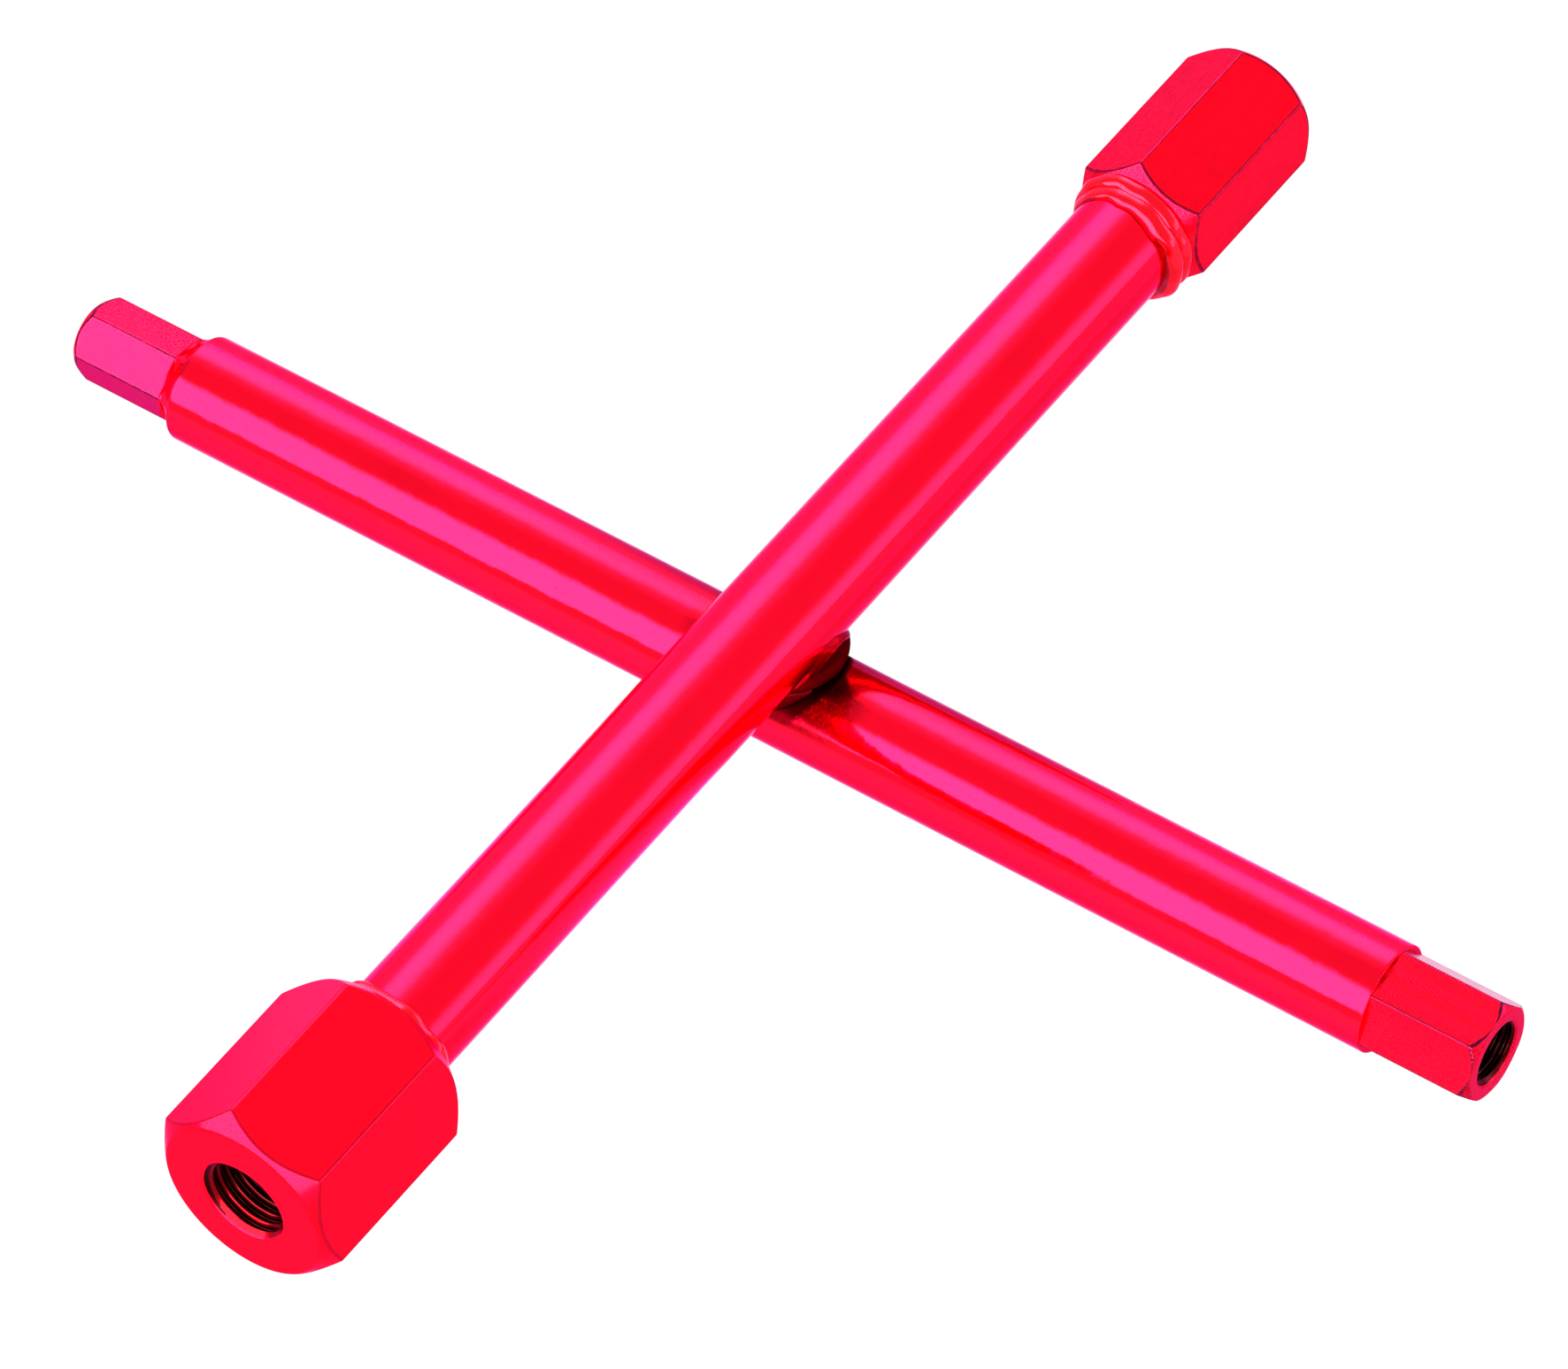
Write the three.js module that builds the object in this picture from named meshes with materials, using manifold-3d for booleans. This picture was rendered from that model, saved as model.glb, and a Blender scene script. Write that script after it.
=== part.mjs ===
// Folding cross wrench: two round bars, one stacked on the other, turn about an
// upright pivot where they cross. Each bar carries a hexagonal head at each end.
//
// Frame, millimetres: the origin is on the pivot axis, level with the underside
// of the lower bar. +Z is up along the pivot axis, X runs along the lower bar,
// Y along the upper bar. The pieces are built about the parting plane between
// the bars, where z = 0, and one group lifts them all by PARTING_Z.
import * as THREE from "three";
import { mergeVertices } from "three/addons/utils/BufferGeometryUtils.js";
import Module from "manifold-3d";

const { degToRad } = THREE.MathUtils;

// --------------------------------------------------------- shared dimensions
const TUBE_R = 10; // both bars: round tube
const TUBE_BORE_R = 7;
const BAR_H = 10.4; // each bar's axis above or below the parting plane
const PARTING_Z = BAR_H + TUBE_R; // parting plane above the origin
const FIT = 0.05; // gap between pieces fastened together

const SIDES = 48; // facets on the tubes and other large rounds
const SMALL_SIDES = 28; // facets on shanks, bores and pivot pieces

// Pivot sizes that several pieces share
const PART_GAP = 0.1; // each boss stops this far from the parting plane
const HOLE_CLEARANCE = 0.2;
const BOSS_SPIGOT_R = 6.5;
const BOSS_SPIGOT_END = 4.0; // |z| where a boss's spigot ends inside its tube
const SPIGOT_END_GAP = 0.3; // from there to the nut above or the bush below
const TUBE_HOLE_R = BOSS_SPIGOT_R + HOLE_CLEARANCE;
const SCREW_R = 3.0; // shoulder
const SCREW_BORE_R = SCREW_R + 0.1;
const THREAD_R = 2.5;
const HEAD_R = 4.8;
const BUSH_R = 5.9;
const BUSH_HOLE_R = BUSH_R + HOLE_CLEARANCE;

const WASHER_R = 5.5;
const WASHER_HALF = 0.5; // half its thickness
const POCKET_R = WASHER_R + 0.2; // washer's pocket in the face of each boss
const POCKET_Z = WASHER_HALF + 0.1; // |z| of the pocket's floor

// Stop lug on the lower boss and its slot in the upper one
const STOP_R0 = 7.5;
const STOP_R1 = 9.2;
const STOP_ANGLE = 39; // degrees from +X, the lug's middle
const STOP_HALF = 7.5; // degrees, half the lug
const FOLD = 78; // degrees of travel between the stops

// -------------------------------------------------------------------- frames
const X = new THREE.Vector3(1, 0, 0);
const Y = new THREE.Vector3(0, 1, 0);
const DOWN = new THREE.Vector3(0, 0, -1);
// Local frame of a bar: +Z runs along the bar, -Y is up. Places along local Z
// are called stations.
const UPPER = new THREE.Matrix4().makeBasis(X, DOWN, Y).setPosition(0, 0, BAR_H);
const LOWER = new THREE.Matrix4()
  .makeBasis(Y.clone().negate(), DOWN, X)
  .setPosition(0, 0, -BAR_H);
// Frame of the pivot, for pieces turned about its axis
const UPRIGHT = new THREE.Matrix4();

// ------------------------------------------------------------- solid helpers
const wasm = await Module();
wasm.setup();

// A closed geometry, moved into a frame, as a solid turned the right way out
function solid(geometry, matrix) {
  geometry.applyMatrix4(matrix);
  geometry.deleteAttribute("normal");
  geometry.deleteAttribute("uv");
  const merged = mergeVertices(geometry, 1e-4);
  const vertProperties = merged.attributes.position.array;
  const triVerts = new Uint32Array(merged.index.array);
  const make = () => new wasm.Manifold(new wasm.Mesh({ numProp: 3, vertProperties, triVerts }));
  const made = make();
  if (made.volume() >= 0) return made;
  for (let i = 0; i < triVerts.length; i += 3) {
    [triVerts[i + 1], triVerts[i + 2]] = [triVerts[i + 2], triVerts[i + 1]];
  }
  return make();
}

// A profile of [radius, station] pairs turned about the local Z axis. One that
// starts off the axis is closed into a ring.
function turned(profile, matrix, sides = SIDES) {
  const points = profile.map(([radius, station]) => new THREE.Vector2(radius, station));
  if (profile[0][0] > 0) points.push(points[0].clone());
  const geometry = new THREE.LatheGeometry(points, sides);
  geometry.rotateX(Math.PI / 2);
  return solid(geometry, matrix);
}

function rod(radius, start, end, matrix, sides) {
  const profile = [[0, start], [radius, start], [radius, end], [0, end]];
  return turned(profile, matrix, sides);
}

function ring(inner, outer, start, end, matrix, sides) {
  const profile = [[inner, start], [outer, start], [outer, end], [inner, end]];
  return turned(profile, matrix, sides);
}

// An upright cylinder about the pivot axis
const post = (radius, bottom, top, sides) => rod(radius, bottom, top, UPRIGHT, sides);

// A solid length of each bar either side of the pivot, for coping pieces to it
const upperOutside = (radius) => rod(radius, -60, 60, UPPER);
const lowerOutside = (radius) => rod(radius, -60, 60, LOWER);

// A flat shape raised along local Z
function extruded(points, start, end, matrix) {
  const shape = new THREE.Shape(points.map(([x, y]) => new THREE.Vector2(x, y)));
  const geometry = new THREE.ExtrudeGeometry(shape, { depth: end - start, bevelEnabled: false });
  geometry.translate(0, 0, start);
  return solid(geometry, matrix);
}

// A wedge of an annulus about the pivot axis, angles in degrees from +X
function wedge(inner, outer, fromAngle, toAngle, bottom, top) {
  const steps = Math.ceil((toAngle - fromAngle) / 5);
  const arc = (radius) =>
    Array.from({ length: steps + 1 }, (_, i) => {
      const angle = degToRad(fromAngle + ((toAngle - fromAngle) * i) / steps);
      return [radius * Math.cos(angle), radius * Math.sin(angle)];
    });
  return extruded([...arc(outer), ...arc(inner).reverse()], bottom, top, UPRIGHT);
}

// --------------------------------------------------------- looks and meshes
const LACQUER = { color: 0xf0062e, roughness: 0.22, metalness: 0.35 };
const WELD_LACQUER = { color: 0xd80528, roughness: 0.3, metalness: 0.35 };
const STEEL = { color: 0x8b8d92, roughness: 0.35, metalness: 1 };
const SPRING_STEEL = { color: 0x55585e, roughness: 0.45, metalness: 1 };
const BRONZE = { color: 0xb08a4a, roughness: 0.4, metalness: 1 };

const pieces = new THREE.Group();
pieces.position.z = PARTING_Z;

function part(name, shape, look) {
  const { vertProperties, triVerts } = shape.getMesh();
  const geometry = new THREE.BufferGeometry();
  const positions = new Float32Array(vertProperties);
  geometry.setAttribute("position", new THREE.BufferAttribute(positions, 3));
  geometry.setIndex(new THREE.BufferAttribute(new Uint32Array(triVerts), 1));
  const mesh = new THREE.Mesh(geometry, new THREE.MeshStandardMaterial(look));
  mesh.name = name;
  pieces.add(mesh);
}

// ----------------------------------------------------------- hexagonal heads
const SHANK_R = 6.8; // a head's round shank inside its tube
const SHANK_CHAMFER = 1;
const DRILL_TIP = 0.58; // depth of a drilled hole's end cone, per radius
const HEX_REACH = 160; // past every head, so the turned envelope sets the ends
const OVERLAP = 1; // shanks run this far into their heads, cutters out of them

const cornerRadius = (acrossFlats) => acrossFlats / Math.sqrt(3);

// An overlong hexagonal prism, one corner turned by so many degrees from upright
function hexagon(acrossFlats, turn, matrix) {
  const radius = cornerRadius(acrossFlats);
  const corners = [0, 1, 2, 3, 4, 5].map((k) => {
    const angle = degToRad(turn + 60 * k);
    return [radius * Math.sin(angle), -radius * Math.cos(angle)];
  });
  return extruded(corners, -HEX_REACH, HEX_REACH, matrix);
}

// The blind drilled bore of a tapped hole, with a countersunk mouth
function drilled({ core, mouth, depth }, face, outward, matrix) {
  const at = (inward) => face - outward * inward;
  const profile = [
    [0, at(-OVERLAP)],
    [mouth + 0.25, at(-OVERLAP)],
    [mouth, face],
    [core, at(mouth - core)],
    [core, at(depth)],
    [0, at(depth + core * DRILL_TIP)],
  ];
  return turned(profile, matrix, SMALL_SIDES);
}

// A hexagonal head from its end face to its back, with 45 degree corner
// chamfers, a shank reaching inward to shankEnd and, if given, a bore
function hexHead(head, matrix) {
  const { acrossFlats, turn, face, back, faceChamfer, backChamfer, shankEnd, bore } = head;
  const outward = Math.sign(face);
  const corner = cornerRadius(acrossFlats);
  const clear = corner + 1; // envelope radius, clear of the corners
  const envelope = [
    [0, face],
    [corner - faceChamfer, face],
    [clear, face - outward * (faceChamfer + 1)],
  ];
  if (backChamfer) {
    envelope.push([clear, back + outward * (backChamfer + 1)], [corner - backChamfer, back]);
  } else {
    envelope.push([clear, back]);
  }
  envelope.push([0, back]);

  const shankStart = back + outward * OVERLAP;
  const shank = [
    [0, shankStart],
    [SHANK_R, shankStart],
    [SHANK_R, shankEnd + outward * SHANK_CHAMFER],
    [SHANK_R - SHANK_CHAMFER, shankEnd],
    [0, shankEnd],
  ];
  const blank = hexagon(acrossFlats, turn, matrix)
    .intersect(turned(envelope, matrix))
    .add(turned(shank, matrix, SMALL_SIDES));
  return bore ? blank.subtract(drilled(bore, face, outward, matrix)) : blank;
}

// ----------------------------------------------------------------- upper bar
const UPPER_SHANK = 13; // shank length behind a head

const LARGE_BACK = -116.4;
const LARGE_HEAD = {
  acrossFlats: 32.3,
  turn: -10.3,
  face: -154.05,
  back: LARGE_BACK,
  faceChamfer: 3.2,
  backChamfer: 3.1,
  shankEnd: LARGE_BACK + UPPER_SHANK,
  bore: { core: 6.95, mouth: 8.27, depth: 29 }, // M16
};

const MEDIUM_BACK = 107.8;
const MEDIUM_HEAD = {
  acrossFlats: 24.2,
  turn: -4.3,
  face: 145.55,
  back: MEDIUM_BACK,
  faceChamfer: 2.6,
  backChamfer: 2.5,
  shankEnd: MEDIUM_BACK - UPPER_SHANK,
  bore: { core: 5.95, mouth: 7.2, depth: 26 }, // M14
};

const upperTube = ring(TUBE_BORE_R, TUBE_R, LARGE_BACK + FIT, MEDIUM_BACK - FIT, UPPER);
part("upper_tube", upperTube.subtract(post(TUBE_HOLE_R, -2, BAR_H, SMALL_SIDES)), LACQUER);

// Weld rings round the tube; each outline is [radius, station]
const WELD_BORE_R = TUBE_R + FIT;
const WELD_SPLIT = 104.8; // where the cap bead ends and the root bead starts

const LARGE_WELD = [
  [WELD_BORE_R, LARGE_BACK + FIT],
  [13.3, LARGE_BACK + FIT],
  [12.9, LARGE_BACK + 1.2],
  [11.6, LARGE_BACK + 2.4],
  [WELD_BORE_R, LARGE_BACK + 3.4],
];
const MEDIUM_ROOT_WELD = [
  [WELD_BORE_R, MEDIUM_BACK - FIT],
  [WELD_BORE_R, WELD_SPLIT + FIT],
  [12.1, WELD_SPLIT + FIT],
  [12.75, 105.4],
  [13.0, 106.3],
  [12.7, 107.2],
  [12.0, MEDIUM_BACK - FIT],
];
const MEDIUM_CAP_WELD = [
  [WELD_BORE_R, WELD_SPLIT],
  [WELD_BORE_R, 101.4],
  [11.2, 101.6],
  [12.5, 102.3],
  [12.95, 103.3],
  [12.7, 104.2],
  [12.1, WELD_SPLIT],
];

part("large_hex_head", hexHead(LARGE_HEAD, UPPER), LACQUER);
part("large_head_weld", turned(LARGE_WELD, UPPER), WELD_LACQUER);
part("medium_hex_head", hexHead(MEDIUM_HEAD, UPPER), LACQUER);
part("medium_head_root_weld", turned(MEDIUM_ROOT_WELD, UPPER), WELD_LACQUER);
part("medium_head_cap_weld", turned(MEDIUM_CAP_WELD, UPPER), WELD_LACQUER);

// ---------------------------------------------------------- upper saddle boss
const BOSS_R = 10.4; // wall where the welds sit on it
const BOSS_TOP = 7.2;

// The boss's outline, bulging near its foot: [radius, z], swollen by grow
const bellied = (grow) =>
  turned(
    [
      [0, PART_GAP],
      [9.7 + grow, PART_GAP],
      [10.3 + grow, 0.5],
      [10.7 + grow, 1.1],
      [10.85 + grow, 1.9],
      [10.7 + grow, 2.9],
      [BOSS_R + grow, 4.0],
      [BOSS_R + grow, BOSS_TOP + grow],
      [0, BOSS_TOP + grow],
    ],
    UPRIGHT,
  );

// Coped to the tube above, with a spigot in the tube's hole, a pocket for the
// washer and an arc slot underneath for the stop lug
function upperBoss() {
  const slack = 0.15; // radial, each side of the lug
  const endSlack = 1; // degrees, past each end of the lug's travel
  const slot = wedge(
    STOP_R0 - slack,
    STOP_R1 + slack,
    STOP_ANGLE - FOLD - STOP_HALF - endSlack,
    STOP_ANGLE + STOP_HALF + endSlack,
    -1,
    1.15,
  );
  return bellied(0)
    .subtract(upperOutside(TUBE_R + FIT))
    .add(post(BOSS_SPIGOT_R, PART_GAP, BOSS_SPIGOT_END, SMALL_SIDES))
    .subtract(post(SCREW_BORE_R, -1, 6, SMALL_SIDES))
    .subtract(post(POCKET_R, -1, POCKET_Z, SMALL_SIDES))
    .subtract(slot);
}
part("upper_saddle_boss", upperBoss(), LACQUER);

// Weld beads along the two arches where the boss meets the sides of the tube:
// a band that hugs the tube and stands a little proud of the boss's wall
const WELD_LEG = 1.15;
const BEAD_CORE_R = 8; // nothing of the band is kept inside this radius
const BEAD_OUTSIDE = [ // [radius, z]
  [0, 0.6],
  [11.2, 0.6],
  [11.2, 2.6],
  [10.95, 4.2],
  [10.85, 6.5],
  [10.25, 10.1],
  [0, 10.1],
];
const beads = turned(BEAD_OUTSIDE, UPRIGHT)
  .intersect(upperOutside(TUBE_R + WELD_LEG))
  .subtract(upperOutside(TUBE_R + FIT))
  .subtract(bellied(FIT))
  .subtract(post(BEAD_CORE_R, -1, BOSS_TOP + FIT))
  .decompose();

// The largest separate bead on one side, +1 for +X or -1 for -X
function beadOn(side) {
  const onSide = beads.filter((bead) => {
    const { min, max } = bead.boundingBox();
    return side * (min[0] + max[0]) > 0;
  });
  return onSide.sort((a, b) => b.volume() - a.volume())[0];
}
part("boss_weld_east", beadOn(1), WELD_LACQUER);
part("boss_weld_west", beadOn(-1), WELD_LACQUER);

// -------------------------------------------------------- pivot nut and screw
const NUT_R = 6.2;
const NUT_TOP = 12.3;
const SCREW_TOP = 12.1;
const CHAMFER = 0.5; // on the nut, the thread's end and the screw's head

// Round nut inside the upper tube
const NUT = [
  [THREAD_R + 0.1, BOSS_SPIGOT_END + SPIGOT_END_GAP],
  [NUT_R, BOSS_SPIGOT_END + SPIGOT_END_GAP],
  [NUT_R, NUT_TOP - CHAMFER],
  [NUT_R - CHAMFER, NUT_TOP],
  [THREAD_R + 0.1, NUT_TOP],
];
part("pivot_nut", turned(NUT, UPRIGHT, SMALL_SIDES), STEEL);

// Shoulder screw, head down in the recess of the bush
const HEAD_BOTTOM_Z = -PARTING_Z; // flush with the lower bar's underside
const HEAD_TOP_Z = -16.35;
const SCREW = [
  [0, HEAD_BOTTOM_Z],
  [HEAD_R - CHAMFER, HEAD_BOTTOM_Z],
  [HEAD_R, HEAD_BOTTOM_Z + CHAMFER],
  [HEAD_R, HEAD_TOP_Z],
  [SCREW_R, HEAD_TOP_Z],
  [SCREW_R, BOSS_SPIGOT_END - 0.3],
  [THREAD_R, BOSS_SPIGOT_END + 0.15],
  [THREAD_R, SCREW_TOP - CHAMFER],
  [THREAD_R - CHAMFER, SCREW_TOP],
  [0, SCREW_TOP],
];
// Two holes for a pin spanner
const PIN_HOLE = { radius: 0.75, depth: 2, offset: 2.7, sides: 16 };

function pivotScrew() {
  const { radius, depth, offset, sides } = PIN_HOLE;
  const hole = post(radius, HEAD_BOTTOM_Z - depth, HEAD_BOTTOM_Z + depth, sides);
  return turned(SCREW, UPRIGHT, SMALL_SIDES)
    .subtract(hole.translate([offset, 0, 0]))
    .subtract(hole.translate([-offset, 0, 0]));
}
part("pivot_screw", pivotScrew(), STEEL);

// ----------------------------------------------------------------- lower bar
const TUBE_WEST = -126.75; // the tube's -X end
const TUBE_EAST = 122.4; // and its +X end
const LOWER_SHANK = 25; // shank length inside the tube

const LOWER_TUBE = [ // [radius, station]
  [TUBE_BORE_R, TUBE_WEST],
  [TUBE_R - 0.6, TUBE_WEST],
  [TUBE_R - 0.15, TUBE_WEST + 0.2],
  [TUBE_R, TUBE_WEST + 0.7],
  [TUBE_R, TUBE_EAST - 0.2],
  [TUBE_R - 0.2, TUBE_EAST],
  [TUBE_BORE_R, TUBE_EAST],
];
part(
  "lower_tube",
  turned(LOWER_TUBE, LOWER)
    .subtract(post(TUBE_HOLE_R, -BAR_H, 2, SMALL_SIDES))
    .subtract(post(BUSH_HOLE_R, -30, -BAR_H, SMALL_SIDES)),
  LACQUER,
);

// Solid hexagon on a round shank
const SMALL_AF = 13.9;
const SMALL_TIP_R = 6.0;
const SMALL_BIT = {
  acrossFlats: SMALL_AF,
  turn: 14.9,
  face: -150.0,
  back: -129.8, // where its weld collar starts
  faceChamfer: cornerRadius(SMALL_AF) - SMALL_TIP_R,
  shankEnd: TUBE_WEST + LOWER_SHANK,
};
part("small_hex_bit", hexHead(SMALL_BIT, LOWER), LACQUER);

// Weld collar that widens from the hexagon's outline to a circle at the tube.
// Its outlines are joined in order and the last one to the first.
function weldCollar() {
  const wideR = 9.6;
  const start = SMALL_BIT.back + FIT;
  const end = TUBE_WEST - FIT;
  const sixth = Math.PI / 3;
  const hexRadius = (angle) => SMALL_AF / 2 / Math.cos((angle % sixth) - sixth / 2);
  // part way from the hexagon (0) to the circle (1); angle is from a corner
  const blend = (round) => (angle) => (1 - round) * hexRadius(angle) + round * wideR;
  const inside = () => SHANK_R + FIT;
  const outlines = [ // [radius at an angle, station]
    [blend(0), start],
    [blend(0.22), start + 0.35 * (end - start)],
    [blend(0.58), start + 0.7 * (end - start)],
    [blend(1), end],
    [inside, end],
    [inside, start],
  ];

  const positions = [];
  const index = [];
  outlines.forEach(([radiusAt, station], i) => {
    const row = i * SIDES;
    const nextRow = ((i + 1) % outlines.length) * SIDES;
    for (let j = 0; j < SIDES; j++) {
      const fromCorner = (j * 2 * Math.PI) / SIDES;
      const angle = degToRad(SMALL_BIT.turn) + fromCorner;
      const radius = radiusAt(fromCorner);
      positions.push(radius * Math.sin(angle), -radius * Math.cos(angle), station);
      const next = (j + 1) % SIDES;
      index.push(row + j, row + next, nextRow + next);
      index.push(row + j, nextRow + next, nextRow + j);
    }
  });
  const geometry = new THREE.BufferGeometry();
  geometry.setAttribute("position", new THREE.Float32BufferAttribute(positions, 3));
  geometry.setIndex(index);
  return solid(geometry, LOWER);
}
part("small_bit_weld", weldCollar(), WELD_LACQUER);

// Hexagon with a tapped end; its corners stand level with the tube's outside
const TAPPED_AF = 17.3;
const TAPPED_FACE_R = TAPPED_AF / 2 - 0.08;
const TAPPED_BIT = {
  acrossFlats: TAPPED_AF,
  turn: -19.0,
  face: 143.35,
  back: TUBE_EAST + FIT,
  faceChamfer: cornerRadius(TAPPED_AF) - TAPPED_FACE_R,
  shankEnd: TUBE_EAST - LOWER_SHANK,
  bore: { core: 5.15, mouth: 6.2, depth: 26 }, // M12
};
part("tapped_hex_bit", hexHead(TAPPED_BIT, LOWER), LACQUER);

// Lower saddle boss: a neck coped to the tube under a wider rim, with a groove
// between the rim and the tube, and the stop lug standing on top
function lowerBoss() {
  const rimR = 10.0;
  const neckR = 8.9;
  const grooveHeight = 0.9; // over the tube
  const footZ = -9.0; // inside the tube's outline, so the coping removes it
  const rim = post(rimR, footZ, -PART_GAP).subtract(lowerOutside(TUBE_R + grooveHeight));
  const neck = post(neckR, footZ, -PART_GAP).subtract(lowerOutside(TUBE_R + FIT));
  const lug = wedge(
    STOP_R0,
    STOP_R1,
    STOP_ANGLE - STOP_HALF,
    STOP_ANGLE + STOP_HALF,
    -0.6,
    0.95,
  );
  return rim
    .add(neck)
    .add(post(BOSS_SPIGOT_R, -BOSS_SPIGOT_END, -PART_GAP, SMALL_SIDES))
    .add(lug)
    .subtract(post(SCREW_BORE_R, -8, 2, SMALL_SIDES))
    .subtract(post(POCKET_R, -POCKET_Z, 2, SMALL_SIDES));
}
part("lower_saddle_boss", lowerBoss(), LACQUER);

// ------------------------------------------------- bush, washer and springs
// Bush through the lower tube, recessed below for the screw's head and dressed
// flush with the tube
const BUSH_TOP_Z = -BOSS_SPIGOT_END - SPIGOT_END_GAP;
const BUSH_SEAT_Z = -15.0; // roof of the recess
const BUSH_END_Z = -20.15;
const RECESS_R = HEAD_R + 0.25;
const BUSH = [
  [SCREW_BORE_R, BUSH_TOP_Z],
  [SCREW_BORE_R, BUSH_SEAT_Z],
  [RECESS_R, BUSH_SEAT_Z],
  [RECESS_R, BUSH_END_Z],
  [BUSH_R, BUSH_END_Z],
  [BUSH_R, BUSH_TOP_Z],
];
const bush = turned(BUSH, UPRIGHT, SMALL_SIDES).intersect(lowerOutside(TUBE_R));
part("pivot_bush", bush, BRONZE);

// Thrust washer between the bosses
part(
  "thrust_washer",
  ring(SCREW_BORE_R + 0.1, WASHER_R, -WASHER_HALF, WASHER_HALF, UPRIGHT, SMALL_SIDES),
  BRONZE,
);

// Two opposed disc springs between the bush's seat and the screw's head, each
// placed by the undersides of its inner and outer edges
function discSpring(innerZ, outerZ) {
  const innerR = SCREW_BORE_R + 0.05;
  const outerR = 4.7;
  const thickness = 0.4;
  const profile = [
    [innerR, innerZ],
    [outerR, outerZ],
    [outerR, outerZ + thickness],
    [innerR, innerZ + thickness],
  ];
  return turned(profile, UPRIGHT, SMALL_SIDES);
}
part("upper_disc_spring", discSpring(-15.45, -15.65), SPRING_STEEL);
part("lower_disc_spring", discSpring(-16.3, -16.1), SPRING_STEEL);

const group = new THREE.Group();
group.add(pieces);
export default group;
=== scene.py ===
"""Two tubular bars with hexagonal ends, crossed at right angles and joined by a pivot.

The upper bar lies along Y and the lower bar along X. The pivot stands on the Z axis.
The underside of the lower tube is at z = 0. Shapes are worked out in millimetres.
"""
import math

import bmesh
import bpy
import numpy as np
from mathutils import Matrix, Vector
from mathutils.geometry import delaunay_2d_cdt


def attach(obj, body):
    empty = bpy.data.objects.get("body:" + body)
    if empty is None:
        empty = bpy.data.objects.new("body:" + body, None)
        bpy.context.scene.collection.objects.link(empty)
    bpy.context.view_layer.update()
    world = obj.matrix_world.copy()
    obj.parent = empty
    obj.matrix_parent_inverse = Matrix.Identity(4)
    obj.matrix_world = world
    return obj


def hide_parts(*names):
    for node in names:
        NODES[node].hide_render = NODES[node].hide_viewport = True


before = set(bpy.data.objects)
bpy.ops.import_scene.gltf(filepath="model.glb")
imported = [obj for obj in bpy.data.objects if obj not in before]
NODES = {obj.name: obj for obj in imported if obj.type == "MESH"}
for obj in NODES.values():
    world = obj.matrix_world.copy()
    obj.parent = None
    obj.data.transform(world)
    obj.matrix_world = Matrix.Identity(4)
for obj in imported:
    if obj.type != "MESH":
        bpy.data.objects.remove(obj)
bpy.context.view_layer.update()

MM = 0.001
AXIS = 10.4              # height of a bar's axis over or under the parting plane
TUBE_R = 10.0
TUBE_BORE = 7.0
LIFT = AXIS + TUBE_R     # height of the parting plane over the origin

# hexagons: turn of the first corner in degrees, width across flats, corner rounding
LARGE_HEX = dict(turn=-10.3, across=32.3, corner=0.55)
MEDIUM_HEX = dict(turn=-4.3, across=24.2, corner=0.4)
TAPPED_HEX = dict(turn=-19.0, across=17.3, corner=0.2)
SMALL_HEX = dict(turn=14.9, across=13.9, corner=0.45)


# ---------------------------------------------------------------- coordinates
def points(x, y, z):
    return np.stack(np.broadcast_arrays(x, y, z), -1)


def upper(radius, angle, station):
    """Round the upper bar: angle from +Z towards +X, station along Y."""
    return points(radius * np.sin(angle), station, LIFT + AXIS + radius * np.cos(angle))


def lower(radius, angle, station):
    """Round the lower bar: angle from +Z towards -Y, station along X."""
    return points(station, -radius * np.sin(angle), LIFT - AXIS + radius * np.cos(angle))


def upright(radius, angle, height):
    """Round the pivot: angle from +X towards +Y, height over the parting plane."""
    return points(radius * np.cos(angle), radius * np.sin(angle), LIFT + height)


def full_turn(count):
    return np.linspace(0, 2 * math.pi, count, endpoint=False)


# --------------------------------------------------------------------- meshes
def make_object(name, verts, faces, attributes=None):
    mesh = bpy.data.meshes.new(name)
    mesh.from_pydata((np.asarray(verts) * MM).tolist(), [], faces)
    for key, values in (attributes or {}).items():
        attribute = mesh.attributes.new(key, "FLOAT", "POINT")
        attribute.data.foreach_set("value", np.asarray(values, np.float32))
    bm = bmesh.new()
    bm.from_mesh(mesh)
    bmesh.ops.remove_doubles(bm, verts=bm.verts, dist=1e-8)
    bmesh.ops.dissolve_degenerate(bm, dist=1e-8, edges=bm.edges)
    bmesh.ops.recalc_face_normals(bm, faces=bm.faces)
    bm.to_mesh(mesh)
    bm.free()
    mesh.validate()
    mesh.polygons.foreach_set("use_smooth", [True] * len(mesh.polygons))
    mesh.update()
    piece = bpy.data.objects.new(name, mesh)
    bpy.context.scene.collection.objects.link(piece)
    return piece


def ring_mesh(name, grid, closed=False, **attributes):
    """Skins a grid of rows x columns x 3 whose columns wrap round.

    The rows wrap too when closed. Otherwise an end row that is a single point
    becomes a pole. Attributes are spread over the grid.
    """
    rows, columns = grid.shape[:2]
    start_pole, end_pole = (
        not closed and np.ptp(grid[i], axis=0).max() < 1e-9 for i in (0, -1))

    def index(i, j):
        return i % rows * columns + j % columns

    faces = []
    for i in range(rows if closed else rows - 1):
        for j in range(columns):
            near, near_next = index(i, j), index(i, j + 1)
            far, far_next = index(i + 1, j), index(i + 1, j + 1)
            if i == 0 and start_pole:
                faces.append((0, far_next, far))
            elif i == rows - 2 and end_pole:
                faces.append((near, near_next, index(i + 1, 0)))
            else:
                faces.append((near, near_next, far_next, far))
    # drop the points of a pole's row that no face uses
    used = np.zeros(rows * columns, bool)
    for face in faces:
        used[list(face)] = True
    renumber = (np.cumsum(used) - 1).tolist()
    faces = [tuple(renumber[v] for v in face) for face in faces]
    values = {key: np.broadcast_to(value, (rows, columns)).reshape(-1)[used]
              for key, value in attributes.items()}
    return make_object(name, grid.reshape(-1, 3)[used], faces, values)


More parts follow.
